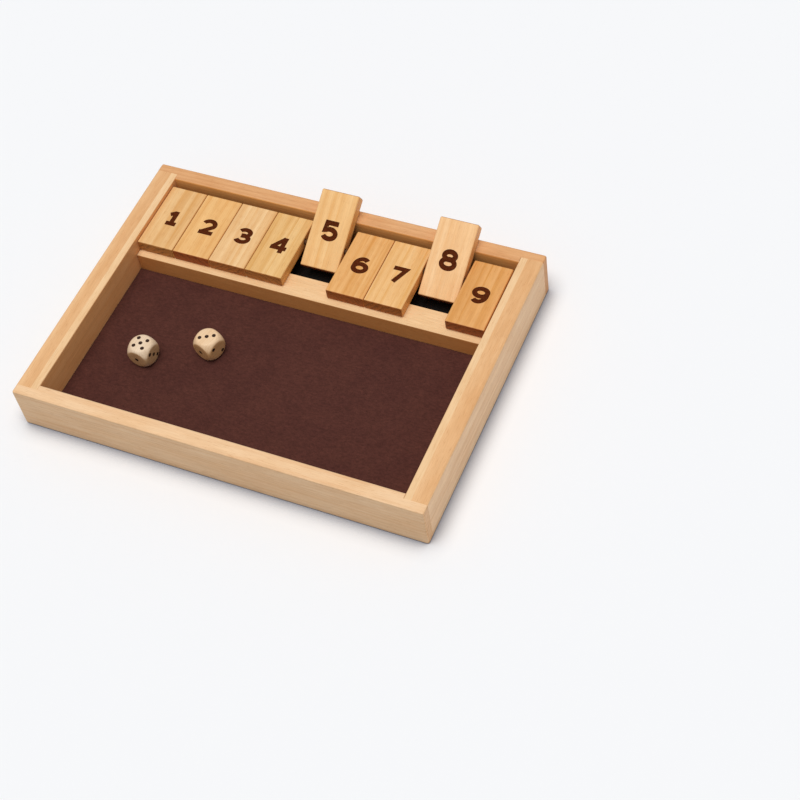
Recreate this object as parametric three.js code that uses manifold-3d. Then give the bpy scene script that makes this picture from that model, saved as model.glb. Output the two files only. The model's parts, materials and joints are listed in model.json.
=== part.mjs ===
// Shut the box: a wooden dice tray with nine number tiles that flip over on one rod.
// Lengths are in millimetres. X runs to the player's right, Y away from the player, Z up.
// The origin lies on the table, under the middle of the tray.
import * as THREE from 'three';
import { mergeVertices } from 'three/addons/utils/BufferGeometryUtils.js';
import Module from 'manifold-3d';

// Tray over all
const trayWidth = 280;
const trayDepth = 205;
const trayHeight = 33;

// Gap left between two pieces that touch or are glued together
const seam = 0.3;

// How far a cutter runs past the wood that it cuts
const cutOverrun = 5;

// Outer rails, with one router depth for the panel groove and for the corner rabbets
const railThickness = 10.5;
const routerDepth = 4;
const railEase = 0.8;

// Base panel, held in the rails' grooves
const panelThickness = 3;
const panelRise = 4;

// Liner strips inside the two side rails, which hold the ends of the rod
const linerThickness = 4.8;
const linerEase = 0.4;

// Felt that the dice roll on
const feltThickness = 1.2;

// Number tiles
const tileCount = 9;
const tileLength = 52.5;
const tileThickness = 8.2;
const tileEase = 0.5;
const tileNoseRadius = 1;
const tileBelowRim = 2.7;
const tileBehindGap = 4.4;
const rowPlay = 11.8;
const raisedTiles = [5, 8];

// How the row's play is spread: before the first tile, between neighbours, after the last
const rowPlayShares = [0.03, 0.03, 0.03, 0.03, 0.23, 0.23, 0.03, 0.125, 0.125, 0.14];

// Rod through all the tiles
const rodDiameter = 3;
const rodClearance = 0.3;
const rodToTileEnd = 15.8;
const rodSeatDepth = 3.8;

// Bar that the front halves of the closed tiles lie on
const restDepth = 17;
const restLip = 4.6;
const restEase = 0.5;

// Dice, cubes turned down to a ball at their corners
const dieSide = 16;
const dieBallDiameter = 20.6;
const pipDiameter = 2.3;
const pipDepth = 0.6;
const pipSpacing = 3.3;

// Each die's place as shares of the felt's width and depth, its turn, and its numbers
const dice = [
  { name: 'die_1', placeShares: [0.162, 0.447], turnDegrees: -4, topQuarterTurns: 0,
    faces: { top: 5, front: 1, right: 3, bottom: 2, back: 6, left: 4 } },
  { name: 'die_2', placeShares: [0.318, 0.594], turnDegrees: -17, topQuarterTurns: 1,
    faces: { top: 3, front: 1, right: 2, bottom: 4, back: 6, left: 5 } },
];

// Facets of round forms
const boreSides = 24;
const easeSegments = 2;
const ballSides = 40;
const pipSides = 12;

// Places worked out from the sizes above
const panelTop = panelRise + panelThickness;
const panelSeat = panelTop + seam;
const feltTop = panelSeat + feltThickness;
const tileTop = trayHeight - tileBelowRim;
const tileUnderside = tileTop - tileThickness;
const innerHalfDepth = trayDepth / 2 - railThickness;
const innerHalfWidth = trayWidth / 2 - railThickness - linerThickness;
const sideHalfLength = innerHalfDepth + routerDepth - seam;
const tileRearY = innerHalfDepth - tileBehindGap;
const restFrontY = tileRearY - tileLength - restLip;
const rodY = tileRearY - rodToTileEnd;
const rodZ = tileTop - tileThickness / 2;
const tileWidth = (2 * innerHalfWidth - rowPlay) / tileCount;

// How far a raised tile leans up from level, with its back on the top inner corner of the back rail
const cornerFromRod = new THREE.Vector2(innerHalfDepth + railEase - rodY, trayHeight - rodZ);
const leanAngle = cornerFromRod.angle() + Math.asin((tileThickness / 2 + seam) / cornerFromRod.length());

const railWood = new THREE.MeshStandardMaterial({ color: 0xf1cb98, roughness: 0.55, metalness: 0 });
const sideWood = new THREE.MeshStandardMaterial({ color: 0xe9ad6f, roughness: 0.55, metalness: 0 });
const linerWood = new THREE.MeshStandardMaterial({ color: 0xf6d3a2, roughness: 0.55, metalness: 0 });
const restWood = new THREE.MeshStandardMaterial({ color: 0xf3c48c, roughness: 0.55, metalness: 0 });
const tileWood = new THREE.MeshStandardMaterial({ color: 0xe6b878, roughness: 0.5, metalness: 0 });
const panelWood = new THREE.MeshStandardMaterial({ color: 0xc99c66, roughness: 0.7, metalness: 0 });
const rodWood = new THREE.MeshStandardMaterial({ color: 0x845d3c, roughness: 0.6, metalness: 0 });
const dieWood = new THREE.MeshStandardMaterial({ color: 0xe2c49a, roughness: 0.5, metalness: 0 });
const feltCloth = new THREE.MeshStandardMaterial({ color: 0x4e2a26, roughness: 1, metalness: 0 });

const wasm = await Module();
wasm.setup();

// Turns a closed geometry into a solid that can be cut and joined
function solidOf(geometry) {
  const bare = geometry.clone();
  bare.deleteAttribute('normal');
  bare.deleteAttribute('uv');
  const welded = mergeVertices(bare);
  return new wasm.Manifold(new wasm.Mesh({
    numProp: 3,
    vertProperties: new Float32Array(welded.attributes.position.array),
    triVerts: new Uint32Array(welded.index.array),
  }));
}

function geometryOf(solid) {
  const mesh = solid.getMesh();
  const geometry = new THREE.BufferGeometry();
  geometry.setAttribute('position', new THREE.BufferAttribute(mesh.vertProperties, mesh.numProp));
  geometry.setIndex(new THREE.BufferAttribute(mesh.triVerts, 1));
  geometry.computeVertexNormals();
  return geometry;
}

// A block between two opposite corners
function block(from, to) {
  const size = new THREE.Vector3().subVectors(to, from);
  const middle = new THREE.Vector3().addVectors(from, to).multiplyScalar(0.5);
  return new THREE.BoxGeometry(size.x, size.y, size.z).translate(middle.x, middle.y, middle.z);
}

// Lays a profile drawn in the Y-Z plane along X, centred, with its two ends chamfered by ease
function alongX(profile, length, ease) {
  const geometry = new THREE.ExtrudeGeometry(profile, {
    depth: length - 2 * ease,
    bevelEnabled: ease > 0,
    bevelSize: ease,
    bevelThickness: ease,
    bevelOffset: -ease,
    bevelSegments: 1,
    curveSegments: easeSegments,
  });
  geometry.translate(0, 0, ease - length / 2);
  const profileToWorld = new THREE.Matrix4().makeBasis(
    new THREE.Vector3(0, 1, 0), new THREE.Vector3(0, 0, 1), new THREE.Vector3(1, 0, 0));
  return geometry.applyMatrix4(profileToWorld);
}

function outline(points) {
  return new THREE.Shape(points.map(([x, y]) => new THREE.Vector2(x, y)));
}

// A rail's section, with its outer face at Y = 0 and its outer edges eased. The top inner edge has an
// ease of its own, which is none where a liner is glued on flush.
function railProfile(innerEase) {
  return outline([
    [railEase, 0],
    [railThickness, 0],
    ...(innerEase > 0 ? [[railThickness, trayHeight - innerEase]] : []),
    [railThickness - innerEase, trayHeight],
    [railEase, trayHeight],
    [0, trayHeight - railEase],
    [0, railEase],
  ]);
}

// A rail lying along X, with the panel's groove run along the whole of its inner face
function groovedRail(length, innerEase, endEase) {
  const groove = block(
    new THREE.Vector3(-length / 2 - cutOverrun, railThickness - routerDepth, panelRise - seam),
    new THREE.Vector3(length / 2 + cutOverrun, railThickness + cutOverrun, panelSeat));
  return solidOf(alongX(railProfile(innerEase), length, endEase)).subtract(solidOf(groove));
}

// The front and the back rail run the full width, with a rabbet at each end for the side rail and liner
function endRail() {
  let rail = groovedRail(trayWidth, railEase, railEase);
  for (const side of [-1, 1]) {
    const inner = side * (innerHalfWidth - seam);
    const outer = side * (trayWidth / 2 + cutOverrun);
    const rabbet = block(
      new THREE.Vector3(Math.min(inner, outer), railThickness - routerDepth, -cutOverrun),
      new THREE.Vector3(Math.max(inner, outer), railThickness + cutOverrun, trayHeight + cutOverrun));
    rail = rail.subtract(solidOf(rabbet));
  }
  return geometryOf(rail);
}

// The side rails stop in the rabbets, so their ends are square, and the liners hide their inner faces
function sideRail() {
  return geometryOf(groovedRail(2 * sideHalfLength, 0, 0));
}

// A strip inside a side rail, drawn for the right side, with a blind seat for the end of the rod
function liner() {
  const outerX = trayWidth / 2 - railThickness - seam;
  const profile = outline([
    [innerHalfWidth, panelSeat],
    [outerX, panelSeat],
    [outerX, trayHeight],
    [innerHalfWidth + linerEase, trayHeight],
    [innerHalfWidth, trayHeight - linerEase],
  ]);
  const strip = new THREE.ExtrudeGeometry(profile, { depth: 2 * sideHalfLength, bevelEnabled: false });
  strip.translate(0, 0, -sideHalfLength).rotateX(Math.PI / 2);
  const seat = new THREE.CylinderGeometry(rodDiameter / 2 + seam, rodDiameter / 2 + seam, 2 * rodSeatDepth, boreSides);
  seat.rotateZ(Math.PI / 2).translate(innerHalfWidth, rodY, rodZ);
  return geometryOf(solidOf(strip).subtract(solidOf(seat)));
}

function basePanel() {
  const halfWidth = trayWidth / 2 - railThickness + routerDepth - seam;
  return block(
    new THREE.Vector3(-halfWidth, -sideHalfLength, panelRise),
    new THREE.Vector3(halfWidth, sideHalfLength, panelTop));
}

function feltMat() {
  const halfWidth = innerHalfWidth - seam;
  return block(
    new THREE.Vector3(-halfWidth, seam - innerHalfDepth, panelSeat),
    new THREE.Vector3(halfWidth, restFrontY - seam, feltTop));
}

// The bar under the tiles' front halves, with its two top edges eased
function tileRest() {
  const top = tileUnderside - seam;
  const rearY = restFrontY + restDepth;
  const profile = outline([
    [restFrontY, panelSeat],
    [rearY, panelSeat],
    [rearY, top - restEase],
    [rearY - restEase, top],
    [restFrontY + restEase, top],
    [restFrontY, top - restEase],
  ]);
  return alongX(profile, 2 * (innerHalfWidth - seam), 0);
}

function pivotRod() {
  const radius = rodDiameter / 2;
  const length = 2 * (innerHalfWidth + rodSeatDepth - seam);
  return new THREE.CylinderGeometry(radius, radius, length, boreSides).rotateZ(Math.PI / 2);
}

// A tile lying level, drawn about its bore, with round noses, chamfered sides and countersunk bore mouths
function numberTile() {
  const rear = rodToTileEnd;
  const front = rodToTileEnd - tileLength;
  const half = tileThickness / 2;
  const quarter = Math.PI / 2;
  const profile = new THREE.Shape();
  const nose = tileNoseRadius;
  profile.absarc(rear - nose, half - nose, nose, 0, quarter, false);
  profile.absarc(front + nose, half - nose, nose, quarter, 2 * quarter, false);
  profile.absarc(front + nose, nose - half, nose, 2 * quarter, 3 * quarter, false);
  profile.absarc(rear - nose, nose - half, nose, 3 * quarter, 4 * quarter, false);
  profile.closePath();
  const bore = new THREE.Path();
  const boreRadius = rodDiameter / 2 + rodClearance;
  for (let side = 0; side < boreSides; side += 1) {
    const angle = -side / boreSides * 2 * Math.PI;
    const point = [boreRadius * Math.cos(angle), boreRadius * Math.sin(angle)];
    if (side === 0) bore.moveTo(...point);
    else bore.lineTo(...point);
  }
  bore.closePath();
  profile.holes.push(bore);
  return geometryOf(solidOf(alongX(profile, tileWidth, tileEase)));
}

// Places of the pips on a face, in pip spacings from its middle
const pipPlaces = {
  1: [[0, 0]],
  2: [[-1, 1], [1, -1]],
  3: [[-1, 1], [0, 0], [1, -1]],
  4: [[-1, 1], [1, 1], [-1, -1], [1, -1]],
  5: [[-1, 1], [1, 1], [0, 0], [-1, -1], [1, -1]],
  6: [[-1, 1], [1, 1], [-1, 0], [1, 0], [-1, -1], [1, -1]],
};

// Turns that bring a face drawn looking down on the top to each side of the die
const faceTurns = {
  top: new THREE.Euler(0, 0, 0),
  front: new THREE.Euler(Math.PI / 2, 0, 0),
  right: new THREE.Euler(Math.PI / 2, Math.PI / 2, 0, 'YXZ'),
  bottom: new THREE.Euler(Math.PI, 0, 0),
  back: new THREE.Euler(-Math.PI / 2, 0, 0),
  left: new THREE.Euler(Math.PI / 2, -Math.PI / 2, 0, 'YXZ'),
};

// A die about its own middle: a cube cut round by a ball, with a dimple for each pip
function die(faces, topQuarterTurns) {
  const cube = new THREE.BoxGeometry(dieSide, dieSide, dieSide);
  const ball = new THREE.SphereGeometry(dieBallDiameter / 2, ballSides, ballSides / 2);
  let body = solidOf(cube).intersect(solidOf(ball));
  const pipRadius = ((pipDiameter / 2) ** 2 + pipDepth ** 2) / (2 * pipDepth);
  const cutterHeight = dieSide / 2 + pipRadius - pipDepth;
  for (const [face, number] of Object.entries(faces)) {
    const turn = new THREE.Matrix4().makeRotationFromEuler(faceTurns[face]);
    for (const [across, up] of pipPlaces[number]) {
      const cutter = new THREE.SphereGeometry(pipRadius, pipSides, pipSides);
      cutter.translate(across * pipSpacing, up * pipSpacing, cutterHeight);
      if (face === 'top') {
        cutter.rotateZ(topQuarterTurns * Math.PI / 2);
      }
      body = body.subtract(solidOf(cutter.applyMatrix4(turn)));
    }
  }
  return geometryOf(body);
}

function addPiece(parent, name, geometry, material) {
  const piece = new THREE.Mesh(geometry, material);
  piece.name = name;
  parent.add(piece);
  return piece;
}

function buildTray() {
  const tray = new THREE.Group();
  const quarterTurn = Math.PI / 2;

  const frontRail = addPiece(tray, 'front_rail', endRail(), railWood);
  frontRail.position.y = -trayDepth / 2;
  const backRail = addPiece(tray, 'back_rail', endRail(), railWood);
  backRail.position.y = trayDepth / 2;
  backRail.rotation.z = 2 * quarterTurn;

  const leftRail = addPiece(tray, 'left_rail', sideRail(), sideWood);
  leftRail.position.x = -trayWidth / 2;
  leftRail.rotation.z = -quarterTurn;
  const rightRail = addPiece(tray, 'right_rail', sideRail(), sideWood);
  rightRail.position.x = trayWidth / 2;
  rightRail.rotation.z = quarterTurn;

  addPiece(tray, 'right_liner', liner(), linerWood);
  const mirror = new THREE.Matrix4().makeScale(-1, 1, 1);
  const leftLiner = liner().applyMatrix4(mirror);
  leftLiner.index.array.reverse();
  leftLiner.computeVertexNormals();
  addPiece(tray, 'left_liner', leftLiner, linerWood);

  addPiece(tray, 'base_panel', basePanel(), panelWood);
  addPiece(tray, 'felt_mat', feltMat(), feltCloth);
  addPiece(tray, 'tile_rest', tileRest(), restWood);
  const rod = addPiece(tray, 'pivot_rod', pivotRod(), rodWood);
  rod.position.set(0, rodY, rodZ);
  return tray;
}

// The tiles side by side on the rod, the raised ones turned over backwards onto the back rail
function buildTiles() {
  const tiles = new THREE.Group();
  tiles.position.set(0, rodY, rodZ);
  let left = -innerHalfWidth;
  for (let number = 1; number <= tileCount; number += 1) {
    left += rowPlayShares[number - 1] * rowPlay;
    const tile = addPiece(tiles, `number_tile_${number}`, numberTile(), tileWood);
    tile.position.x = left + tileWidth / 2;
    if (raisedTiles.includes(number)) {
      tile.rotation.x = leanAngle - Math.PI;
    }
    left += tileWidth;
  }
  return tiles;
}

function buildDice() {
  const pair = new THREE.Group();
  const feltDepth = restFrontY + innerHalfDepth;
  for (const { name, placeShares, turnDegrees, topQuarterTurns, faces } of dice) {
    const [widthShare, depthShare] = placeShares;
    const piece = addPiece(pair, name, die(faces, topQuarterTurns), dieWood);
    piece.position.set(
      2 * innerHalfWidth * widthShare - innerHalfWidth,
      feltDepth * depthShare - innerHalfDepth,
      feltTop + seam + dieSide / 2);
    piece.rotation.z = THREE.MathUtils.degToRad(turnDegrees);
  }
  return pair;
}

const shutTheBox = new THREE.Group();
shutTheBox.name = 'shut_the_box';
shutTheBox.add(buildTray(), buildTiles(), buildDice());

export default shutTheBox;
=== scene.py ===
# Shut the box: an open wooden dice tray with nine number tiles that flip over on one rod.
import json
import math

import bmesh
import bpy
from mathutils import Euler, Matrix, Vector
from mathutils.geometry import delaunay_2d_cdt


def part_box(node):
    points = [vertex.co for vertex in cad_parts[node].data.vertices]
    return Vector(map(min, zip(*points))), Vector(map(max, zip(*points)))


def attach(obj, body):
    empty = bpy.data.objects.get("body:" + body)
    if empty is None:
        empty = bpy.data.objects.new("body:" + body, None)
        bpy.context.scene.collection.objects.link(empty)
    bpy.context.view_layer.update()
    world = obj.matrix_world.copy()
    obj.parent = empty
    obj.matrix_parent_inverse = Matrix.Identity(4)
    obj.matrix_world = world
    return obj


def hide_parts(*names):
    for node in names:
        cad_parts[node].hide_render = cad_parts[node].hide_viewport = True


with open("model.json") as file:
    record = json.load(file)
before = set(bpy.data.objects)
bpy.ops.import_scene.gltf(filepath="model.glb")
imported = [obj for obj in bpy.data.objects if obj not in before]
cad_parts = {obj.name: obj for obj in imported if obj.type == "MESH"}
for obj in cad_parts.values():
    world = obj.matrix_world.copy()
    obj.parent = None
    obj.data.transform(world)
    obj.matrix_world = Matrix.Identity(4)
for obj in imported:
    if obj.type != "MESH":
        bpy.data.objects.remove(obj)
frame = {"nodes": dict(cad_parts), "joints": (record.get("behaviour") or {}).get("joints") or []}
nodes = frame["nodes"]
joints = {joint["child"]: joint for joint in frame["joints"]}
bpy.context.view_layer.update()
MM = 0.001


# Front and back rails
# Each is one stick of pale pine, planed, with its arrises sanded off. A groove inside holds the
# floor panel, and a rabbet at each end takes the side rail and its liner, which are glued in.
GLUE_GAP = 0.3 * MM
RAIL_END_SHARES = ((0.86, 0.78, 0.69), (0.745, 0.615, 0.485))
# The third entry of each board is painted light and shade on its sideways faces: darker on the front rail,
# lighter and warmer on the back rail's inner face.
RAIL_BOARDS = {
    "front_rail": ((0.935, 0.632, 0.370), (0.800, 0.450, 0.215), (0.765, 0.76, 0.745), RAIL_END_SHARES),
    "back_rail": ((0.800, 0.425, 0.190), (0.620, 0.275, 0.100), (1.17, 1.08, 0.74), RAIL_END_SHARES),
}
SANDED_ARRIS = 0.35 * MM
WELD = 0.004 * MM
SAME_PLANE = 0.02 * MM
END_SHARES = ((0.80, 0.54, 0.32), (0.36, 0.20, 0.11))
FLECK_SHARES = (0.72, 0.55, 0.42)
PATCH_LOW_SHARES = (0.97, 0.94, 0.90)
PATCH_HIGH_SHARES = (1.02, 1.045, 1.075)
GRAIN_STRETCH = (1.0, 0.03, 1.0)
PATCH_STRETCH = (1.0, 0.30, 1.0)
SMOOTHSTEP = {"interpolation_type": "SMOOTHSTEP"}
MULTIPLY = {"operation": "MULTIPLY"}
COLOUR_MIX = {"data_type": "RGBA"}


def sanded_copy(node, arris, segments=2, glued=()):
    """A copy of a CAD node as one clean mesh, with every sharp edge rounded over. A glued face is given
    by its axis, its place and the place of the face that it meets. It closes the glue gap, and its edges
    stay square, because such a joint is planed flush."""
    mesh = nodes[node].data.copy()
    form = bmesh.new()
    form.from_mesh(mesh)
    bmesh.ops.remove_doubles(form, verts=form.verts, dist=WELD)
    bmesh.ops.dissolve_limit(form, angle_limit=math.radians(1), verts=form.verts, edges=form.edges)
    square = set()
    for axis, place, meeting in glued:
        on_face = {v for v in form.verts if abs(v.co[axis] - place) < SAME_PLANE}
        square |= {e for e in form.edges if set(e.verts) <= on_face}
        for vert in on_face:
            vert.co[axis] = meeting
    round_off = [e for e in form.edges
                 if e.is_manifold and e.calc_face_angle() > math.radians(20) and e not in square]
    bmesh.ops.bevel(form, geom=round_off, offset=arris, segments=segments, affect="EDGES", clamp_overlap=True)
    form.to_mesh(mesh)
    form.free()
    mesh.materials.clear()
    piece = bpy.data.objects.new(node + "_wood", mesh)
    bpy.context.scene.collection.objects.link(piece)
    return piece


def smooth_by_angle(piece, degrees=35):
    """Smooth shading that breaks at the sharp edges, with broad faces kept flat."""
    piece.data.shade_smooth()
    piece.data.set_sharp_from_angle(angle=math.radians(degrees))
    flat = piece.modifiers.new("broad_faces_flat", "WEIGHTED_NORMAL")
    flat.keep_sharp = True


def stand_for(piece, node, body):
    """The piece rides on the body in place of the CAD node, which is hidden."""
    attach(piece, body)
    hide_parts(node)


def blank_material(name):
    """A new material with only its shader and output, and a maker of linked nodes."""
    material = bpy.data.materials.new(name)
    material.use_nodes = True
    tree = material.node_tree
    shader = tree.nodes["Principled BSDF"]

    def add(kind, settings=(), **sockets):
        node = tree.nodes.new(kind)
        for key, value in dict(settings).items():
            setattr(node, key, value)
        for key, value in sockets.items():
            socket = node.inputs[int(key[1:])] if key[0] == "i" and key[1:].isdigit() else node.inputs[key]
            if isinstance(value, bpy.types.NodeSocket):
                tree.links.new(value, socket)
            else:
                socket.default_value = value
        return node

    return material, tree, shader, add


def planed_wood(name, centre, turn, pale, dark, board=0.0, ring=2.6, figure=0.55, roughness=0.48,
                heart=None, painted_side_light_shares=(1.0, 1.0, 1.0), end_shares=END_SHARES, band=0.7, band_width=12.0,
                painted_side_light_span=(0.35, 0.85), end_span=(0.45, 0.85)):
    """Planed softwood whose grain runs along the turned Y axis of the piece, in its own board's figure.
    The heart is the place of the tree's middle, in millimetres beside and below the piece. Faces that
    point sideways take their own share of the colour, a painted light and shade for how the light falls
    on them, and end grain is deeper and shows the rings. The spans say how squarely a face points up or
    along the grain where the painted side light or the end grain begins and where it is full."""
    beside, below = heart or (17.0 + 31.0 * board, 42.0 + 9.0 * board)
    material, tree, shader, add = blank_material(name)
    place = add("ShaderNodeTexCoord")
    local = add("ShaderNodeMapping", {"vector_type": "TEXTURE"}, Vector=place.outputs["Object"],
                Location=centre, Rotation=turn, Scale=(MM, MM, MM))
    along = add("ShaderNodeMapping", Vector=local.outputs["Vector"],
                Location=(beside, 3.0 * board, below), Scale=GRAIN_STRETCH)
    drift = add("ShaderNodeTexNoise", Vector=along.outputs["Vector"], Scale=0.10, Detail=1.0, Roughness=0.4)
    pushed = add("ShaderNodeVectorMath", {"operation": "MULTIPLY_ADD"}, i0=drift.outputs["Color"],
                 i1=(7.0, 0.0, 7.0), i2=along.outputs["Vector"])
    rings = add("ShaderNodeTexWave", {"wave_type": "RINGS", "rings_direction": "Y", "wave_profile": "SAW"},
                Vector=pushed.outputs["Vector"], Scale=math.tau / 20 / ring, Distortion=0.6,
                Detail=1.0, **{"Detail Scale": 0.30, "Detail Roughness": 0.4})
    late_wood = add("ShaderNodeMapRange", SMOOTHSTEP, Value=rings.outputs["Fac"], i1=0.25, i2=0.98)
    season = add("ShaderNodeTexNoise", Vector=along.outputs["Vector"], Scale=0.33, Detail=2.0, Roughness=0.6)
    season_mask = add("ShaderNodeMapRange", Value=season.outputs["Fac"], i1=0.35, i2=0.68, i3=0.15, i4=1.0)
    fibre_place = add("ShaderNodeMapping", Vector=local.outputs["Vector"],
                      Location=(5.3 * board, 0.0, 2.1), Scale=GRAIN_STRETCH)
    fibre = add("ShaderNodeTexNoise", Vector=fibre_place.outputs["Vector"],
                Scale=2.2, Detail=5.0, Roughness=0.65)
    flecks = add("ShaderNodeTexNoise", Vector=fibre_place.outputs["Vector"],
                 Scale=5.5, Detail=2.0, Roughness=0.5)
    fleck_mask = add("ShaderNodeMapRange", SMOOTHSTEP, Value=flecks.outputs["Fac"],
                     i1=0.58, i2=0.72, i3=0.0, i4=0.55)
    cloud = add("ShaderNodeTexNoise", Vector=along.outputs["Vector"],
                Scale=1 / band_width, Detail=2.0, Roughness=0.5)
    cloud_mask = add("ShaderNodeMapRange", Value=cloud.outputs["Fac"], i1=0.32, i2=0.68, i3=0.0, i4=band)

    in_season = add("ShaderNodeMath", MULTIPLY, i0=late_wood.outputs["Result"],
                    i1=season_mask.outputs["Result"])
    strength = add("ShaderNodeMath", MULTIPLY, i0=in_season.outputs["Value"], i1=figure)
    early = add("ShaderNodeMix", COLOUR_MIX, Factor=cloud_mask.outputs["Result"],
                A=(*pale, 1.0), B=(*[0.5 * (p + d) for p, d in zip(pale, dark)], 1.0))
    ringed = add("ShaderNodeMix", COLOUR_MIX, Factor=strength.outputs["Value"],
                 A=early.outputs[2], B=(*dark, 1.0))
    flecked = add("ShaderNodeMix", COLOUR_MIX, Factor=fleck_mask.outputs["Result"],
                  A=ringed.outputs[2], B=(*[f * d for f, d in zip(FLECK_SHARES, dark)], 1.0))
    fibre_light = add("ShaderNodeMapRange", Value=fibre.outputs["Fac"], i1=0.3, i2=0.7, i3=0.91, i4=1.06)
    fibred = add("ShaderNodeVectorMath", {"operation": "SCALE"}, i0=flecked.outputs[2],
                 Scale=fibre_light.outputs["Result"])
    patch_place = add("ShaderNodeMapping", Vector=local.outputs["Vector"],
                      Location=(11.7 * board, 4.1 * board, 9.4), Scale=PATCH_STRETCH)
    patch = add("ShaderNodeTexNoise", Vector=patch_place.outputs["Vector"],
                Scale=0.13, Detail=3.0, Roughness=0.55)
    patch_mask = add("ShaderNodeMapRange", Value=patch.outputs["Fac"], i1=0.33, i2=0.67)
    patch_tint = add("ShaderNodeMix", COLOUR_MIX, Factor=patch_mask.outputs["Result"],
                     A=(*PATCH_LOW_SHARES, 1.0), B=(*PATCH_HIGH_SHARES, 1.0))
    lit = add("ShaderNodeVectorMath", MULTIPLY, i0=fibred.outputs["Vector"], i1=patch_tint.outputs[2])

    grain = Vector((0, 1, 0))
    grain.rotate(Euler(turn))
    up = Vector((0, 0, 1))
    up.rotate(Euler(turn))
    # Painted light and shade: faces that point sideways have their colour scaled by the shares, lighter or
    # darker for how the light falls on them.
    facing_up = add("ShaderNodeVectorMath", {"operation": "DOT_PRODUCT"}, i0=place.outputs["Normal"], i1=up)
    flat_on = add("ShaderNodeMath", {"operation": "ABSOLUTE"}, i0=facing_up.outputs["Value"])
    painted_side_light_mask = add("ShaderNodeMapRange", SMOOTHSTEP, Value=flat_on.outputs["Value"],
                    i1=painted_side_light_span[0], i2=painted_side_light_span[1], i3=1.0, i4=0.0)
    painted_side_light_tint = add("ShaderNodeVectorMath", MULTIPLY, i0=lit.outputs["Vector"], i1=painted_side_light_shares)
    painted_side_lit = add("ShaderNodeMix", COLOUR_MIX, Factor=painted_side_light_mask.outputs["Result"],
                A=lit.outputs["Vector"], B=painted_side_light_tint.outputs["Vector"])
    facing_along = add("ShaderNodeVectorMath", {"operation": "DOT_PRODUCT"},
                       i0=place.outputs["Normal"], i1=grain)
    end_on = add("ShaderNodeMath", {"operation": "ABSOLUTE"}, i0=facing_along.outputs["Value"])
    end_mask = add("ShaderNodeMapRange", SMOOTHSTEP, Value=end_on.outputs["Value"],
                   i1=end_span[0], i2=end_span[1])
    end_rings = add("ShaderNodeMix", COLOUR_MIX, Factor=in_season.outputs["Value"],
                    A=(*[e * p for e, p in zip(end_shares[0], pale)], 1.0),
                    B=(*[e * d for e, d in zip(end_shares[1], dark)], 1.0))
    end_grain = add("ShaderNodeMix", COLOUR_MIX, Factor=end_mask.outputs["Result"],
                    A=painted_side_lit.outputs[2], B=end_rings.outputs[2])
    tree.links.new(end_grain.outputs[2], shader.inputs["Base Color"])

    rough = add("ShaderNodeMapRange", Value=fibre.outputs["Fac"],
                i1=0.3, i2=0.7, i3=roughness - 0.06, i4=roughness + 0.1)
    tree.links.new(rough.outputs["Result"], shader.inputs["Roughness"])
    relief = add("ShaderNodeMath", {"operation": "MULTIPLY_ADD"}, i0=in_season.outputs["Value"], i1=-0.4,
                 i2=fibre.outputs["Fac"])
    bump = add("ShaderNodeBump", Strength=0.25, Distance=0.06 * MM, Height=relief.outputs["Value"])
    tree.links.new(bump.outputs["Normal"], shader.inputs["Normal"])
    shader.inputs["Specular IOR Level"].default_value = 0.3
    return material


def middle(node):
    low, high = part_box(node)
    return (low + high) / 2


ALONG_X = (0.0, 0.0, math.radians(-90))
ALONG_Y = (0.0, 0.0, 0.0)

side_low, side_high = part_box("right_rail")
strip_low, strip_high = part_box("right_liner")
rabbet_walls = [(0, side * (strip_low.x - GLUE_GAP), side * strip_low.x) for side in (-1, 1)]

for board, (node, (pale, dark, painted_side_light_shares, end_shares)) in enumerate(RAIL_BOARDS.items()):
    rabbet_floor = side_low.y - GLUE_GAP if node == "front_rail" else side_high.y + GLUE_GAP
    rail = sanded_copy(node, SANDED_ARRIS, glued=[(1, rabbet_floor, rabbet_floor), *rabbet_walls])
    rail.data.materials.append(planed_wood(node + "_pine", middle(node), ALONG_X, pale, dark,
                                           board=board + 0.4, figure=0.6, painted_side_light_shares=painted_side_light_shares,
                                           end_shares=end_shares, band=0.45))
    smooth_by_angle(rail)
    stand_for(rail, node, "tray")


# Side rails
# The two outer side rails are cut from a warmer board than the front and back. They stop in the
# rabbets, so their top edges end a few millimetres inside the front and back rails.
SIDE_PALE = (0.880, 0.530, 0.265)
SIDE_DARK = (0.710, 0.355, 0.135)
# The sideways faces are painted lighter and paler, a painted light for the bounce from the white table.
SIDE_RAIL_PAINTED_LIGHT = (1.06, 1.20, 1.45)
SIDE_HEART = (30.0, 60.0)

square_ends = [(1, side_low.y, side_low.y - GLUE_GAP), (1, side_high.y, side_high.y + GLUE_GAP)]

for board, (node, side) in enumerate((("left_rail", -1), ("right_rail", 1))):
    inner_face = side * side_low.x
    rail = sanded_copy(node, SANDED_ARRIS, glued=[(0, inner_face, inner_face), *square_ends])
    rail.data.materials.append(planed_wood(node + "_pine", middle(node), ALONG_Y, SIDE_PALE, SIDE_DARK,
                                           board=board + 2.7, ring=5.0, figure=0.6, heart=SIDE_HEART,
                                           painted_side_light_shares=SIDE_RAIL_PAINTED_LIGHT, band=1.0))
    smooth_by_angle(rail)
    stand_for(rail, node, "tray")


# Liner strips
# A thin pale strip is glued inside each side rail, flush with its top. The two strips hold the
# ends of the tiles' rod in blind holes and frame the felt.
LINER_PALE = (0.925, 0.630, 0.350)
LINER_DARK = (0.810, 0.470, 0.220)
# The sideways faces are painted deeper and more golden, a painted shade.
LINER_PAINTED_SHADE = (1.00, 0.76, 0.55)
LINER_ARRIS = 0.2 * MM

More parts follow.
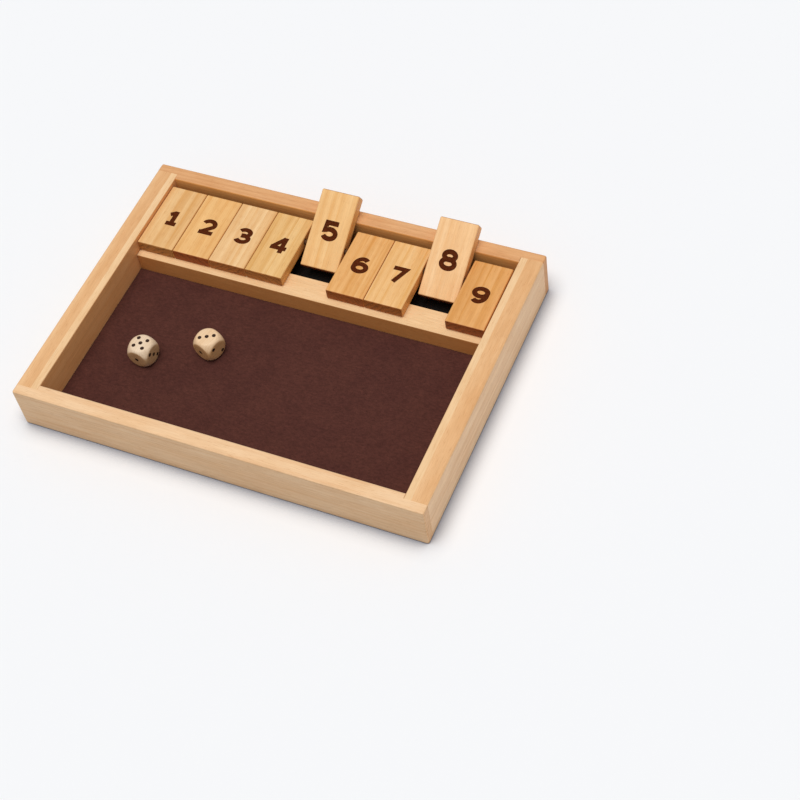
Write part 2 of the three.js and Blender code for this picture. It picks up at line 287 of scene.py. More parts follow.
for board, (node, side) in enumerate((("left_liner", -1), ("right_liner", 1))):
    strip = sanded_copy(node, LINER_ARRIS, glued=[(0, side * strip_high.x, side * side_low.x), *square_ends])
    strip.data.materials.append(planed_wood(node + "_pine", middle(node), ALONG_Y, LINER_PALE, LINER_DARK,
                                            board=board + 5.2, figure=0.35, painted_side_light_shares=LINER_PAINTED_SHADE))
    smooth_by_angle(strip)
    stand_for(strip, node, "tray")


# Floor panel
# Thin plywood, slid into the rails' grooves before the last rail went on. It is bare underneath, and its
# top is coloured near black, a painted shade that makes the pit behind the rest bar read as deep shadow.
PLY_PALE = (0.640, 0.400, 0.205)
PLY_DARK = (0.480, 0.270, 0.120)
# Painted shade: the upper face is coloured near black so that the pit reads as deep shadow.
PIT_PAINTED_SHADE = (0.010, 0.007, 0.006)
PIT_SHADE_SPAN = (0.4, 0.6)
PANEL_ARRIS = 0.15 * MM


def ply_with_painted_pit_shade(name, node):
    """Plywood with its upper face coloured near black as painted pit shade, chosen by which way the face
    points.
    """
    material = planed_wood(name, middle(node), ALONG_X, PLY_PALE, PLY_DARK,
                           board=8.1, ring=5.0, figure=0.5, roughness=0.6)
    tree = material.node_tree
    shader = tree.nodes["Principled BSDF"]
    wood_colour = shader.inputs["Base Color"].links[0].from_socket
    place = next(n for n in tree.nodes if n.type == "TEX_COORD")
    height = tree.nodes.new("ShaderNodeSeparateXYZ")
    tree.links.new(place.outputs["Normal"], height.inputs[0])
    upward = tree.nodes.new("ShaderNodeMapRange")
    upward.inputs[1].default_value = PIT_SHADE_SPAN[0]
    upward.inputs[2].default_value = PIT_SHADE_SPAN[1]
    tree.links.new(height.outputs["Z"], upward.inputs["Value"])
    pit_shade = tree.nodes.new("ShaderNodeMix")
    pit_shade.data_type = "RGBA"
    pit_shade.inputs["B"].default_value = (*PIT_PAINTED_SHADE, 1.0)
    tree.links.new(upward.outputs["Result"], pit_shade.inputs["Factor"])
    tree.links.new(wood_colour, pit_shade.inputs["A"])
    tree.links.new(pit_shade.outputs[2], shader.inputs["Base Color"])
    return material


panel = sanded_copy("base_panel", PANEL_ARRIS, segments=1)
panel.data.materials.append(ply_with_painted_pit_shade("floor_ply", "base_panel"))
smooth_by_angle(panel)
stand_for(panel, "base_panel", "tray")


# Tile rest
# A pale bar is glued to the panel across the tray. The closed tiles lie on its rear half, and its
# front face is the back wall of the dice field.
REST_PALE = (0.915, 0.605, 0.325)
REST_DARK = (0.820, 0.480, 0.225)
# The sideways faces, the front face most, are painted darker and deeper, a painted shade.
REST_PAINTED_SHADE = (0.70, 0.46, 0.26)
REST_ARRIS = 0.2 * MM

rest_bar = sanded_copy("tile_rest", REST_ARRIS)
rest_bar.data.materials.append(planed_wood("tile_rest_pine", middle("tile_rest"), ALONG_X,
                                           REST_PALE, REST_DARK, board=9.3, figure=0.35,
                                           painted_side_light_shares=REST_PAINTED_SHADE))
smooth_by_angle(rest_bar)
stand_for(rest_bar, "tile_rest", "tray")


# Felt floor
# One sheet of brown wool felt, cut with a knife and glued to the panel. It is matted fibre with no
# weave, a little cloudy in colour, with a short fuzz of loose fibres that stand off its surface.
FELT_BROWN = (0.088, 0.029, 0.021)
FELT_DARK = (0.073, 0.0235, 0.018)
FELT_GRID = 3.2 * MM
FELT_PROUD = 0.22 * MM
SWELL_ACROSS = (131, 57)
SWELL_ALONG = (173, 83)


def wool_felt(name):
    material, tree, shader, add = blank_material(name)
    place = add("ShaderNodeTexCoord")
    cloud = add("ShaderNodeTexNoise", Vector=place.outputs["Object"],
                Scale=70.0, Detail=6.0, Roughness=0.62)
    cloud_mask = add("ShaderNodeMapRange", Value=cloud.outputs["Fac"], i1=0.35, i2=0.65)
    colour = add("ShaderNodeMix", COLOUR_MIX, Factor=cloud_mask.outputs["Result"],
                 A=(*FELT_DARK, 1.0), B=(*FELT_BROWN, 1.0))
    fibre = add("ShaderNodeTexNoise", Vector=place.outputs["Object"],
                Scale=1900.0, Detail=4.0, Roughness=0.7, Distortion=1.4)
    fibre_light = add("ShaderNodeMapRange", Value=fibre.outputs["Fac"], i1=0.3, i2=0.7, i3=0.72, i4=1.32)
    tuft_place = add("ShaderNodeMapping", Vector=place.outputs["Object"], Scale=(1.0, 1.9, 1.0))
    tuft = add("ShaderNodeTexNoise", Vector=tuft_place.outputs["Vector"],
               Scale=420.0, Detail=3.0, Roughness=0.6)
    tuft_light = add("ShaderNodeMapRange", Value=tuft.outputs["Fac"], i1=0.3, i2=0.7, i3=0.80, i4=1.20)
    light = add("ShaderNodeMath", MULTIPLY, i0=fibre_light.outputs["Result"], i1=tuft_light.outputs["Result"])
    lit = add("ShaderNodeVectorMath", {"operation": "SCALE"}, i0=colour.outputs[2],
              Scale=light.outputs["Value"])
    tree.links.new(lit.outputs["Vector"], shader.inputs["Base Color"])
    bump = add("ShaderNodeBump", Strength=0.7, Distance=0.2 * MM, Height=fibre.outputs["Fac"])
    tree.links.new(bump.outputs["Normal"], shader.inputs["Normal"])
    shader.inputs["Roughness"].default_value = 1.0
    shader.inputs["Specular IOR Level"].default_value = 0.1
    shader.inputs["Sheen Weight"].default_value = 0.12
    shader.inputs["Sheen Roughness"].default_value = 0.6
    shader.inputs["Sheen Tint"].default_value = (0.62, 0.36, 0.30, 1.0)
    return material


def felt_sheet(low, high, grid, proud):
    """A slab of felt whose top swells and sinks slightly, in a fine grid, with a rounded cut edge."""
    columns = round((high.x - low.x) / grid)
    rows = round((high.y - low.y) / grid)
    form = bmesh.new()
    bmesh.ops.create_grid(form, x_segments=columns, y_segments=rows, size=0.5)
    for vert in form.verts:
        x = low.x + (vert.co.x + 0.5) * (high.x - low.x)
        y = low.y + (vert.co.y + 0.5) * (high.y - low.y)
        across = math.sin(x * SWELL_ACROSS[0] + 2 * math.sin(y * SWELL_ACROSS[1]))
        along = math.sin(y * SWELL_ALONG[0] + 2 * math.sin(x * SWELL_ALONG[1]))
        swell = 0.5 + 0.25 * across + 0.25 * along
        vert.co = Vector((x, y, high.z + proud * swell))
    walls = bmesh.ops.extrude_face_region(form, geom=form.faces[:])
    for vert in (g for g in walls["geom"] if isinstance(g, bmesh.types.BMVert)):
        vert.co.z = low.z
    bmesh.ops.recalc_face_normals(form, faces=form.faces)
    mesh = bpy.data.meshes.new("felt_floor")
    form.to_mesh(mesh)
    form.free()
    mesh.shade_smooth()
    mesh.set_sharp_from_angle(angle=math.radians(50))
    return mesh


felt_low, felt_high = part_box("felt_mat")
felt = bpy.data.objects.new("felt_floor", felt_sheet(felt_low, felt_high, FELT_GRID, FELT_PROUD))
bpy.context.scene.collection.objects.link(felt)
felt_wool = wool_felt("brown_felt")
felt.data.materials.append(felt_wool)
stand_for(felt, "felt_mat", "tray")


# Rod
# A thin birch dowel, stained brown, runs through all nine tiles. Its ends sit in the blind holes of
# the two liner strips, so it goes in before the second side of the tray is glued on.
ROD_PALE = (0.120, 0.056, 0.023)
ROD_DARK = (0.075, 0.033, 0.014)
ROD_ARRIS = 0.1 * MM

rod = sanded_copy("pivot_rod", ROD_ARRIS, segments=1)
rod.data.materials.append(planed_wood("rod_birch", middle("pivot_rod"), ALONG_X, ROD_PALE, ROD_DARK,
                                      board=11.0, figure=0.3, roughness=0.85))
smooth_by_angle(rod)
stand_for(rod, "pivot_rod", "tray")


# Number tiles
# Nine golden pine tiles, each sawn from its own board with the grain along it, bored for the rod
# and sanded. The number is burnt a little into both faces, so that it reads upright either way up.
# A tile's tones are those of its early wood, its late wood and its end grain.
TILE_TONES = {
    1: ((0.900, 0.580, 0.275), (0.700, 0.340, 0.095), (0.375, 0.147, 0.033)),
    2: ((0.905, 0.540, 0.220), (0.730, 0.330, 0.075), (0.295, 0.060, 0.008)),
    3: ((0.920, 0.610, 0.310), (0.740, 0.375, 0.120), (0.345, 0.106, 0.019)),
    4: ((0.885, 0.565, 0.245), (0.700, 0.350, 0.085), (0.370, 0.128, 0.025)),
    5: ((0.940, 0.590, 0.260), (0.780, 0.385, 0.105), (0.330, 0.098, 0.018)),
    6: ((0.880, 0.490, 0.190), (0.690, 0.290, 0.055), (0.290, 0.070, 0.009)),
    7: ((0.930, 0.575, 0.260), (0.760, 0.365, 0.090), (0.300, 0.084, 0.011)),
    8: ((0.980, 0.635, 0.330), (0.840, 0.440, 0.165), (0.350, 0.112, 0.022)),
    9: ((0.840, 0.435, 0.155), (0.640, 0.255, 0.040), (0.262, 0.061, 0.010)),
}
# The tiles' sideways faces are painted darker and deeper, a painted shade.
TILE_PAINTED_SHADE = (0.92, 0.74, 0.52)
TILE_END_SHARES = (1.22, 0.60)
TILE_BOARD = 13.0
TILE_BOARD_STEP = 1.7
TILE_RING = 3.0
TILE_RING_STEP = 0.4
TILE_HEART = (18.0, 45.0)
TILE_HEART_STEP = 9.0
STROKE_WIDTH = 3.35 * MM
BURN_DEPTH = 0.3 * MM
CHAR_BROWN = (0.064, 0.0125, 0.003)
CHAR_LIGHT = (0.135, 0.029, 0.008)
TILE_ARRIS = 0.3 * MM

# Middle lines of the strokes of each number, in millimetres from its centre. A row of six numbers is
# an arc: its centre, its two radii, and the angles where it starts and ends.
DIGIT_STROKES = {
    1: [[(-2.8, 2.5), (0.3, 4.8)], [(0.6, 6.1), (0.6, -6.1)], [(-2.9, -4.75), (3.8, -4.75)]],
    2: [[(0.0, 2.0, 3.6, 3.05, 165, -32), (-3.0, -4.9)], [(-4.4, -4.9), (4.8, -4.9)]],
    3: [[(-0.2, 2.55, 3.35, 2.6, 158, -90), (-1.7, -0.05)],
        [(-1.7, 0.05), (-0.1, -2.4, 3.8, 2.75, 90, -158)]],
    4: [[(1.9, 6.5), (1.9, -6.5)], [(1.7, 5.9), (-4.3, -2.6)], [(-5.3, -2.5), (4.9, -2.5)]],
    5: [[(4.2, 5.15), (-2.9, 5.15), (-3.3, 0.2), (-0.1, -2.05, 3.85, 3.1, 128, -155)]],
    6: [[(0.0, -2.1, 3.8, 3.05, -10, 190)], [(0.0, -2.1, 3.8, 3.05, 170, 370)],
        [(0.2, 0.0, 4.0, 5.15, 48, 205)]],
    7: [[(-4.7, 4.85), (3.1, 4.85), (-1.5, -6.2)]],
    8: [[(0.0, 2.8, 3.35, 2.55, -10, 190)], [(0.0, 2.8, 3.35, 2.55, 170, 370)],
        [(0.0, -2.4, 3.9, 2.95, -10, 190)], [(0.0, -2.4, 3.9, 2.95, 170, 370)]],
    9: [[(0.0, 2.1, 3.8, 3.05, -10, 190)], [(0.0, 2.1, 3.8, 3.05, 170, 370)],
        [(-0.2, 0.0, 4.0, 5.15, 228, 385)]],
}
ARC_STEP = 9
DIGIT_SCALE = Vector((1.12 * MM, 1.02 * MM))
DIGIT_MIDDLE = Vector((0.5 * MM, -0.3 * MM))
MITRE_SHARE = 0.55
SHORTEST_STEP = 0.001 * MM
OUTLINE_WELD = 0.002 * MM


def charred_wood(name):
    material, tree, shader, add = blank_material(name)
    place = add("ShaderNodeTexCoord")
    soot = add("ShaderNodeTexNoise", Vector=place.outputs["Object"], Scale=900.0, Detail=4.0, Roughness=0.6)
    mask = add("ShaderNodeMapRange", Value=soot.outputs["Fac"], i1=0.35, i2=0.75)
    colour = add("ShaderNodeMix", COLOUR_MIX, Factor=mask.outputs["Result"],
                 A=(*CHAR_BROWN, 1.0), B=(*CHAR_LIGHT, 1.0))
    tree.links.new(colour.outputs[2], shader.inputs["Base Color"])
    bump = add("ShaderNodeBump", Strength=0.4, Distance=0.05 * MM, Height=soot.outputs["Fac"])
    tree.links.new(bump.outputs["Normal"], shader.inputs["Normal"])
    shader.inputs["Roughness"].default_value = 0.9
    shader.inputs["Specular IOR Level"].default_value = 0.03
    return material


def middle_line(stroke):
    """The stroke's middle line as points in metres, with its arcs broken into short steps."""
    line = []
    for part in stroke:
        if len(part) == 2:
            line.append(Vector(part) * DIGIT_SCALE)
            continue
        x, y, across, up, first, last = part
        steps = max(2, round(abs(last - first) / ARC_STEP))
        for step in range(steps + 1):
            angle = math.radians(first + (last - first) * step / steps)
            line.append(Vector((x + across * math.cos(angle), y + up * math.sin(angle))) * DIGIT_SCALE)
    return line


def stroke_outline(line, width):
    """The closed outline of a stroke of even width along the line, with mitred corners and square ends."""
    left, right = [], []
    for i, point in enumerate(line):
        following = line[min(i + 1, len(line) - 1)]
        ways = [(b - a).normalized() for a, b in ((line[i - 1], point), (point, following))
                if (b - a).length > SHORTEST_STEP]
        if i == 0:
            ways = ways[-1:]
        side = sum((Vector((-w.y, w.x)) for w in ways), Vector((0, 0))).normalized()
        spread = max(MITRE_SHARE, side.dot(Vector((-ways[-1].y, ways[-1].x))))
        left.append(point + side * width / 2 / spread)
        right.append(point - side * width / 2 / spread)
    return right + left[::-1]


def digit_cutter(number, depth):
    """The number as one closed solid about the origin, upright along Y, as deep below it as above."""
    points, faces = [], []
    for stroke in DIGIT_STROKES[number]:
        outline = stroke_outline(middle_line(stroke), STROKE_WIDTH)
        faces.append(list(range(len(points), len(points) + len(outline))))
        points.extend(outline)
    joined = delaunay_2d_cdt(points, [], faces, 1, OUTLINE_WELD)
    form = bmesh.new()
    verts = [form.verts.new((*(p + DIGIT_MIDDLE), -depth)) for p in joined[0]]
    for corners, strokes in zip(joined[2], joined[5]):
        if strokes:
            form.faces.new([verts[c] for c in corners])
    raised = bmesh.ops.extrude_face_region(form, geom=form.faces[:])
    for vert in (g for g in raised["geom"] if isinstance(g, bmesh.types.BMVert)):
        vert.co.z = depth
    loose = [v for v in form.verts if not v.link_faces]
    bmesh.ops.delete(form, geom=loose, context="VERTS")
    bmesh.ops.recalc_face_normals(form, faces=form.faces)
    mesh = bpy.data.meshes.new(f"burn_{number}")
    form.to_mesh(mesh)
    form.free()
    mesh.materials.append(burnt)
    return mesh


def cut_away(piece, cutter_mesh):
    """Cuts the cutter out of the piece, which keeps the cutter's material on the cut faces."""
    cutter = bpy.data.objects.new("cutter", cutter_mesh)
    bpy.context.scene.collection.objects.link(cutter)
    cut = piece.modifiers.new("cut", "BOOLEAN")
    cut.operation = "DIFFERENCE"
    cut.solver = "EXACT"
    cut.object = cutter
    cut.material_mode = "TRANSFER"
    bpy.context.view_layer.update()
    result = bpy.data.meshes.new_from_object(piece.evaluated_get(bpy.context.evaluated_depsgraph_get()))
    piece.modifiers.remove(cut)
    piece.data = result
    bpy.data.objects.remove(cutter)


burnt = charred_wood("burnt_number")
level_low, level_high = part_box("number_tile_1")
level_middle = (level_low + level_high) / 2

for number, (pale, dark, end) in TILE_TONES.items():
    node = f"number_tile_{number}"
    body = f"tile_{number}"
    joint = joints[body]
    pivot = Vector(joint["pos_m"])
    opened = math.radians(-joint["range_deg"][0])
    turn = Matrix.Rotation(opened, 4, Vector(joint["axis"]))
    to_rest = Matrix.Translation(pivot) @ turn @ Matrix.Translation(-pivot)
    low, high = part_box(node)
    level = Vector(((low.x + high.x) / 2, level_middle.y, level_middle.z))

    tile = sanded_copy(node, TILE_ARRIS)
    end_shares = [[share * e / t for e, t in zip(end, tone)]
                  for share, tone in zip(TILE_END_SHARES, (pale, dark))]
    beside = (-1) ** number * (TILE_HEART[0] + TILE_HEART_STEP * (5 * number % 4))
    wood = planed_wood(node + "_pine", to_rest @ level, tuple(turn.to_euler()), pale, dark,
                       board=TILE_BOARD + TILE_BOARD_STEP * number,
                       ring=TILE_RING + TILE_RING_STEP * (number % 3), figure=0.7,
                       heart=(beside, TILE_HEART[1]), painted_side_light_shares=TILE_PAINTED_SHADE, end_shares=end_shares,
                       band=1.0, band_width=6.0)
    tile.data.materials.append(wood)
    half = (level_high.z - level_low.z) / 2
    upper = Matrix.Translation(level + Vector((0, 0, half)))
    lower = Matrix.Translation(level - Vector((0, 0, half))) @ Matrix.Rotation(math.pi, 4, "X")
    for face in (upper, lower):
        cutter = digit_cutter(number, BURN_DEPTH)
        cutter.transform(to_rest @ face)
        cut_away(tile, cutter)
    smooth_by_angle(tile)
    stand_for(tile, node, body)


# Dice
# Each die is a cube of pale beech, tumbled so far that its corners are a ball and its faces are
# round flats. The pips are shallow drilled dimples, painted dark. Each die has its own turn in
# degrees and its own numbers.
DIE_TONES = {
    "die_1": ((0.860, 0.665, 0.470), (0.660, 0.440, 0.250)),
    "die_2": ((0.900, 0.640, 0.400), (0.720, 0.430, 0.205)),
}
# The side flats are painted darker, a painted shade for the light falling from above; the span says which
# faces take it.
DIE_PAINTED_SHADE = (0.71, 0.59, 0.44)
DIE_END_SHARES = ((0.67, 0.53, 0.38), (0.56, 0.43, 0.28))
DIE_PAINTED_SHADE_SPAN = (0.08, 0.42)
DIE_END_SPAN = (0.86, 0.98)
PIP_PAINT = (0.040, 0.016, 0.008)
DIE_SIDE = 16.0 * MM
DIE_BALL_RADIUS = 10.3 * MM
PIP_RADIUS = 1.35 * MM
PIP_DEPTH = 0.55 * MM
PIP_SPACING = 3.3 * MM
CORNER_CRISPNESS = 30
DIE_CUTS = 31
DRILL_SEGMENTS = 20
DRILL_RINGS = 16
PIP_PLACES = {
    1: ((0, 0),),
    2: ((-1, 1), (1, -1)),
    3: ((-1, 1), (0, 0), (1, -1)),
    4: ((-1, 1), (1, 1), (-1, -1), (1, -1)),
    5: ((-1, 1), (1, 1), (0, 0), (-1, -1), (1, -1)),
    6: ((-1, 1), (1, 1), (-1, 0), (1, 0), (-1, -1), (1, -1)),
}
FACE_TURNS = {
    "top": (0, 0, 0),
    "front": (90, 0, 0),
    "right": (90, 0, 90),
    "bottom": (180, 0, 0),
    "back": (-90, 0, 0),
    "left": (90, 0, -90),
}
QUARTER_TURNED = {("die_2", "top")}
DICE = {
    "die_1": (-4.0, {"top": 5, "front": 1, "right": 3, "bottom": 2, "back": 6, "left": 4}),
    "die_2": (-17.0, {"top": 3, "front": 1, "right": 2, "bottom": 4, "back": 6, "left": 5}),
}


def pip_paint(name):
    material, tree, shader, add = blank_material(name)
    place = add("ShaderNodeTexCoord")
    grain = add("ShaderNodeTexNoise", Vector=place.outputs["Object"], Scale=1500.0, Detail=2.0)
    gloss = add("ShaderNodeMapRange", Value=grain.outputs["Fac"], i3=0.4, i4=0.6)
    tree.links.new(gloss.outputs["Result"], shader.inputs["Roughness"])
    shader.inputs["Base Color"].default_value = (*PIP_PAINT, 1.0)
    shader.inputs["Specular IOR Level"].default_value = 0.15
    return material


def new_tree(name, inputs):
    """A geometry node tree with named inputs, given as name: (socket type, default)."""
    tree = bpy.data.node_groups.new(name, "GeometryNodeTree")
    tree.interface.new_socket("Geometry", in_out="INPUT", socket_type="NodeSocketGeometry")
    ids = {}
    for label, (kind, default) in inputs.items():
        socket = tree.interface.new_socket(label, in_out="INPUT", socket_type=kind)
        if default is not None:
            socket.default_value = default
        ids[label] = socket.identifier
    tree.interface.new_socket("Geometry", in_out="OUTPUT", socket_type="NodeSocketGeometry")
    return tree, ids, tree.nodes.new("NodeGroupInput"), tree.nodes.new("NodeGroupOutput")


def pip_tree():
    """A small ball at every point, which is the drill that leaves a dimple."""
    tree, ids, start, end = new_tree("Pips", {
        "Ball radius": ("NodeSocketFloat", PIP_RADIUS),
        "Paint": ("NodeSocketMaterial", None),
    })
    ball = tree.nodes.new("GeometryNodeMeshUVSphere")
    ball.inputs["Segments"].default_value = DRILL_SEGMENTS
    ball.inputs["Rings"].default_value = DRILL_RINGS
    scatter = tree.nodes.new("GeometryNodeInstanceOnPoints")
    real = tree.nodes.new("GeometryNodeRealizeInstances")
    paint = tree.nodes.new("GeometryNodeSetMaterial")
    link = tree.links.new
    link(start.outputs["Ball radius"], ball.inputs["Radius"])
    link(start.outputs["Geometry"], scatter.inputs["Points"])
    link(ball.outputs["Mesh"], scatter.inputs["Instance"])
    link(scatter.outputs["Instances"], real.inputs["Geometry"])
    link(real.outputs["Geometry"], paint.inputs["Geometry"])
    link(start.outputs["Paint"], paint.inputs["Material"])
    link(paint.outputs["Geometry"], end.inputs["Geometry"])
    return tree, ids


def grown(piece, tree, ids, values):
    """Runs a tree on the piece and returns the plain mesh that comes out."""
    grow = piece.modifiers.new("grow", "NODES")
    grow.node_group = tree
    for label, value in values.items():
        grow[ids[label]] = value
    bpy.context.view_layer.update()
    mesh = bpy.data.meshes.new_from_object(piece.evaluated_get(bpy.context.evaluated_depsgraph_get()))
    piece.modifiers.remove(grow)
    return mesh


def tumbled_cube(side, ball_radius, sharpness):
    """A cube whose corners are turned down to a ball, as one dense skin with the flats kept round."""
    form = bmesh.new()
    bmesh.ops.create_cube(form, size=2.0)
    bmesh.ops.subdivide_edges(form, edges=form.edges[:], cuts=DIE_CUTS, use_grid_fill=True)
    flat = side / 2
    for vert in form.verts:
        direction = vert.co.normalized()
        to_flat = flat / max(abs(c) for c in direction)
        reach = (to_flat ** -sharpness + ball_radius ** -sharpness) ** (-1 / sharpness)
        vert.co = direction * reach
    mesh = bpy.data.meshes.new("tumbled_cube")
    form.to_mesh(mesh)
    form.free()
    return mesh


pip_drill, pip_ids = pip_tree()
painted = pip_paint("pip_paint")
drill_radius = (PIP_RADIUS ** 2 + PIP_DEPTH ** 2) / (2 * PIP_DEPTH)
drill_height = DIE_SIDE / 2 + drill_radius - PIP_DEPTH

for order, (node, (turned, faces)) in enumerate(DICE.items()):
    spin = Matrix.Rotation(math.radians(turned), 4, "Z")
    home = Matrix.Translation(middle(node)) @ spin
    die = bpy.data.objects.new(node + "_beech", tumbled_cube(DIE_SIDE, DIE_BALL_RADIUS, CORNER_CRISPNESS))
    bpy.context.scene.collection.objects.link(die)
    pale, dark = DIE_TONES[node]
    die.data.materials.append(planed_wood(node + "_beech", middle(node), (0.0, 0.0, math.radians(turned)),
                                          pale, dark, board=31.0 + order, ring=1.7, figure=0.4,
                                          roughness=0.42, painted_side_light_shares=DIE_PAINTED_SHADE,
                                          end_shares=DIE_END_SHARES, painted_side_light_span=DIE_PAINTED_SHADE_SPAN,
                                          end_span=DIE_END_SPAN))
    points = []
    for face, count in faces.items():
        face_turn = Euler([math.radians(a) for a in FACE_TURNS[face]]).to_matrix()
        if (node, face) in QUARTER_TURNED:
            face_turn = face_turn @ Matrix.Rotation(math.radians(90), 3, "Z")
        for across, up in PIP_PLACES[count]:
            points.append(face_turn @ Vector((across * PIP_SPACING, up * PIP_SPACING, drill_height)))
    seeds = bpy.data.meshes.new("pip_places")
    seeds.from_pydata(points, [], [])
    holder = bpy.data.objects.new("pip_places", seeds)
    bpy.context.scene.collection.objects.link(holder)
    drills = grown(holder, pip_drill, pip_ids, {"Ball radius": drill_radius, "Paint": painted})
    bpy.data.objects.remove(holder)
    cut_away(die, drills)
    die.data.transform(home)
    smooth_by_angle(die)
    stand_for(die, node, node + "_body")


# Felt nap
# Loose wool fibres lie on the felt and curl up from it. They are grown at random places over the
# sheet, each a thin bent hair of the same wool.
NAP_DENSITY = 0.32 / MM ** 2
NAP_LENGTH = 1.2 * MM
NAP_RADIUS = 0.018 * MM
NAP_SEED = 7
NAP_BEND_SHARES = {"Start": (-0.5, 0.0, 0.0), "Middle": (0.05, 0.24, 0.11), "End": (0.5, -0.1, 0.03)}
NAP_LIFT = 0.18
NAP_GROWTH_SHARES = (0.5, 1.3)


def nap_tree():
    tree, ids, start, end = new_tree("Felt nap", {
        "Density": ("NodeSocketFloat", NAP_DENSITY),
        "Length": ("NodeSocketFloat", NAP_LENGTH),
        "Radius": ("NodeSocketFloat", NAP_RADIUS),
        "Seed": ("NodeSocketInt", NAP_SEED),
        "Wool": ("NodeSocketMaterial", None),
    })
    link = tree.links.new
    new = tree.nodes.new
    scatter = new("GeometryNodeDistributePointsOnFaces")
    hair = new("GeometryNodeCurveQuadraticBezier")
    hair.inputs["Resolution"].default_value = 3
    for point, place in NAP_BEND_SHARES.items():
        hair.inputs[point].default_value = place
    sized = new("GeometryNodeTransform")
    size = new("ShaderNodeCombineXYZ")
    for axis in ("X", "Y", "Z"):
        link(start.outputs["Length"], size.inputs[axis])
    ring = new("GeometryNodeCurvePrimitiveCircle")
    ring.inputs["Resolution"].default_value = 3
    tube = new("GeometryNodeCurveToMesh")
    turn = new("FunctionNodeRandomValue")
    turn.data_type = "FLOAT_VECTOR"
    turn.inputs["Min"].default_value = (-NAP_LIFT, -NAP_LIFT, 0.0)
    turn.inputs["Max"].default_value = (NAP_LIFT, NAP_LIFT, math.tau)
    grow = new("FunctionNodeRandomValue")
    grow.inputs[2].default_value = NAP_GROWTH_SHARES[0]
    grow.inputs[3].default_value = NAP_GROWTH_SHARES[1]
    plant = new("GeometryNodeInstanceOnPoints")
    real = new("GeometryNodeRealizeInstances")
    paint = new("GeometryNodeSetMaterial")
    link(start.outputs["Geometry"], scatter.inputs["Mesh"])
    link(start.outputs["Density"], scatter.inputs["Density"])
    link(start.outputs["Seed"], scatter.inputs["Seed"])
    link(start.outputs["Seed"], turn.inputs["Seed"])
    link(start.outputs["Radius"], ring.inputs["Radius"])
    link(hair.outputs["Curve"], sized.inputs["Geometry"])
    link(size.outputs["Vector"], sized.inputs["Scale"])
    link(sized.outputs["Geometry"], tube.inputs["Curve"])
    link(ring.outputs["Curve"], tube.inputs["Profile Curve"])
    link(scatter.outputs["Points"], plant.inputs["Points"])
    link(tube.outputs["Mesh"], plant.inputs["Instance"])
    link(turn.outputs["Value"], plant.inputs["Rotation"])
    link(grow.outputs[1], plant.inputs["Scale"])
    link(plant.outputs["Instances"], real.inputs["Geometry"])
    link(real.outputs["Geometry"], paint.inputs["Geometry"])
    link(start.outputs["Wool"], paint.inputs["Material"])
    link(paint.outputs["Geometry"], end.inputs["Geometry"])
    return tree, ids


nap_grower, nap_ids = nap_tree()
top_only = bmesh.new()
top_only.from_mesh(felt.data)
bmesh.ops.delete(top_only, geom=[f for f in top_only.faces if f.normal.z < 0.5], context="FACES")
nap_bed_mesh = bpy.data.meshes.new("nap_bed")
top_only.to_mesh(nap_bed_mesh)
top_only.free()
nap_bed = bpy.data.objects.new("nap_bed", nap_bed_mesh)
bpy.context.scene.collection.objects.link(nap_bed)
nap_mesh = grown(nap_bed, nap_grower, nap_ids, {
    "Density": NAP_DENSITY,
    "Length": NAP_LENGTH,
    "Radius": NAP_RADIUS,
    "Seed": NAP_SEED,
    "Wool": felt_wool,
})
bpy.data.objects.remove(nap_bed)
nap = bpy.data.objects.new("felt_nap", nap_mesh)
bpy.context.scene.collection.objects.link(nap)
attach(nap, "tray")


# Table top
# A plain white sheet under the tray takes its soft shadow. Close to the wood an ambient occlusion mask
# darkens its colour, a painted shadow that deepens the contact shade.
TABLE_HALF = 12.0
TABLE_WHITE = (0.925, 0.930, 0.940)
TABLE_SHADE = (0.145, 0.16, 0.215)
TABLE_SHADE_REACH = 15 * MM
TABLE_SHADE_FALL = 0.55

table_mesh = bpy.data.meshes.new("white_table")
table_corners = [(x * TABLE_HALF, y * TABLE_HALF, 0) for x, y in ((-1, -1), (1, -1), (1, 1), (-1, 1))]
table_mesh.from_pydata(table_corners, [], [(0, 1, 2, 3)])
table = bpy.data.objects.new("white_table", table_mesh)
bpy.context.scene.collection.objects.link(table)
white, white_tree, white_shader, white_add = blank_material("white_table")
# Painted shadow: the table's colour turns to the shade colour where the wood is near.
near = white_add("ShaderNodeAmbientOcclusion", {"samples": 8}, Distance=TABLE_SHADE_REACH)
near_mask = white_add("ShaderNodeMapRange", Value=near.outputs["AO"], i1=0.45, i2=0.95)
near_fall = white_add("ShaderNodeMath", {"operation": "POWER"}, i0=near_mask.outputs["Result"],
                      i1=TABLE_SHADE_FALL)
shaded = white_add("ShaderNodeMix", COLOUR_MIX, Factor=near_fall.outputs["Value"],
                   A=(*TABLE_SHADE, 1.0), B=(*TABLE_WHITE, 1.0))
white_tree.links.new(shaded.outputs[2], white_shader.inputs["Base Color"])
white_shader.inputs["Roughness"].default_value = 0.9
table_mesh.materials.append(white)


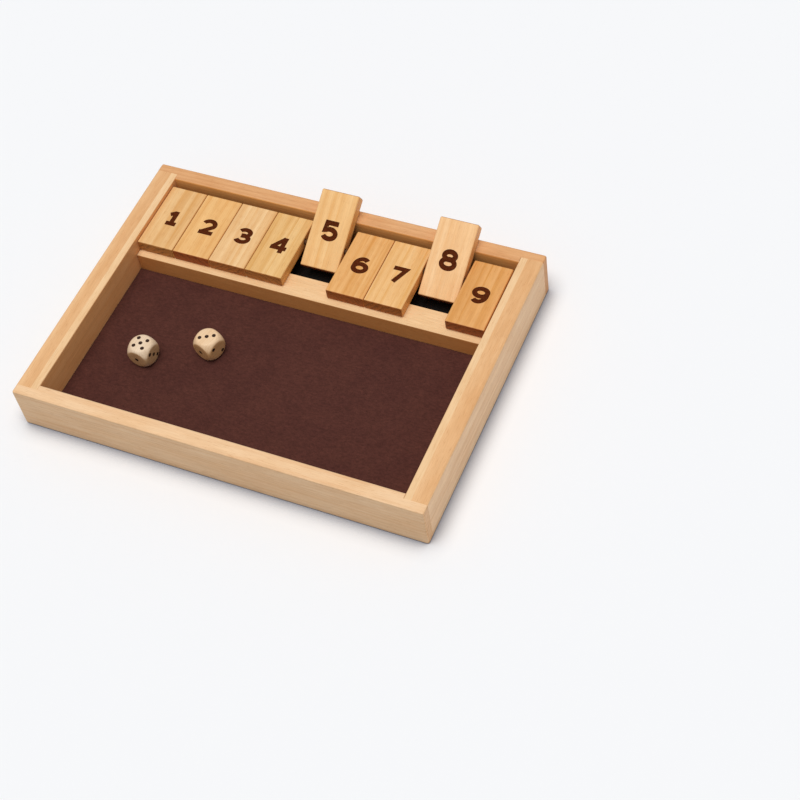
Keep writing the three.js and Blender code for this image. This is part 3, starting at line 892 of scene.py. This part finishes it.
# Studio light
# A very wide soft key stands above and a little toward the player, so that the top faces are bright
# and the front faces are in soft light. A pale room fills the rest.
KEY_TILT = (math.radians(10), math.radians(1), 0.0)
KEY_SPREAD = math.radians(42)
KEY_STRENGTH = 1.98
KEY_PLACE = (0.0, 0.0, 1.5)
ROOM_WHITE = (0.97, 0.98, 1.0)
ROOM_STRENGTH = 0.40

key_data = bpy.data.lights.new("soft_key", "SUN")
key_data.angle = KEY_SPREAD
key_data.energy = KEY_STRENGTH
key = bpy.data.objects.new("soft_key", key_data)
key.location = KEY_PLACE
key.rotation_euler = KEY_TILT
bpy.context.scene.collection.objects.link(key)

room = bpy.data.worlds.new("pale_room")
room.use_nodes = True
room_tree = room.node_tree
backdrop = room_tree.nodes["Background"]
backdrop.inputs["Color"].default_value = (*ROOM_WHITE, 1.0)
seen = room_tree.nodes.new("ShaderNodeLightPath")
brightness = room_tree.nodes.new("ShaderNodeMapRange")
brightness.inputs["To Min"].default_value = ROOM_STRENGTH
brightness.inputs["To Max"].default_value = 1.0
room_tree.links.new(seen.outputs["Is Camera Ray"], brightness.inputs["Value"])
room_tree.links.new(brightness.outputs["Result"], backdrop.inputs["Strength"])
bpy.context.scene.world = room


# Camera
# It looks down on the tray from the front right. The roll is that of the picture in the photograph.
CAMERA_PLACE = Vector((0.4178, -0.5521, 0.8466))
CAMERA_AIM = Vector((0.0822, -0.0107, 0.0))
CAMERA_ROLL = math.radians(-10.9)
CAMERA_LENS = 76.22
CAMERA_SENSOR = 36.0

camera_data = bpy.data.cameras.new("camera")
camera_data.lens = CAMERA_LENS
camera_data.sensor_width = CAMERA_SENSOR
camera = bpy.data.objects.new("camera", camera_data)
camera.location = CAMERA_PLACE
level_look = (CAMERA_AIM - CAMERA_PLACE).to_track_quat("-Z", "Y").to_matrix().to_4x4()
camera.rotation_euler = (level_look @ Matrix.Rotation(CAMERA_ROLL, 4, "Z")).to_euler()
bpy.context.scene.collection.objects.link(camera)
bpy.context.scene.camera = camera
bpy.context.scene.view_settings.view_transform = "Standard"
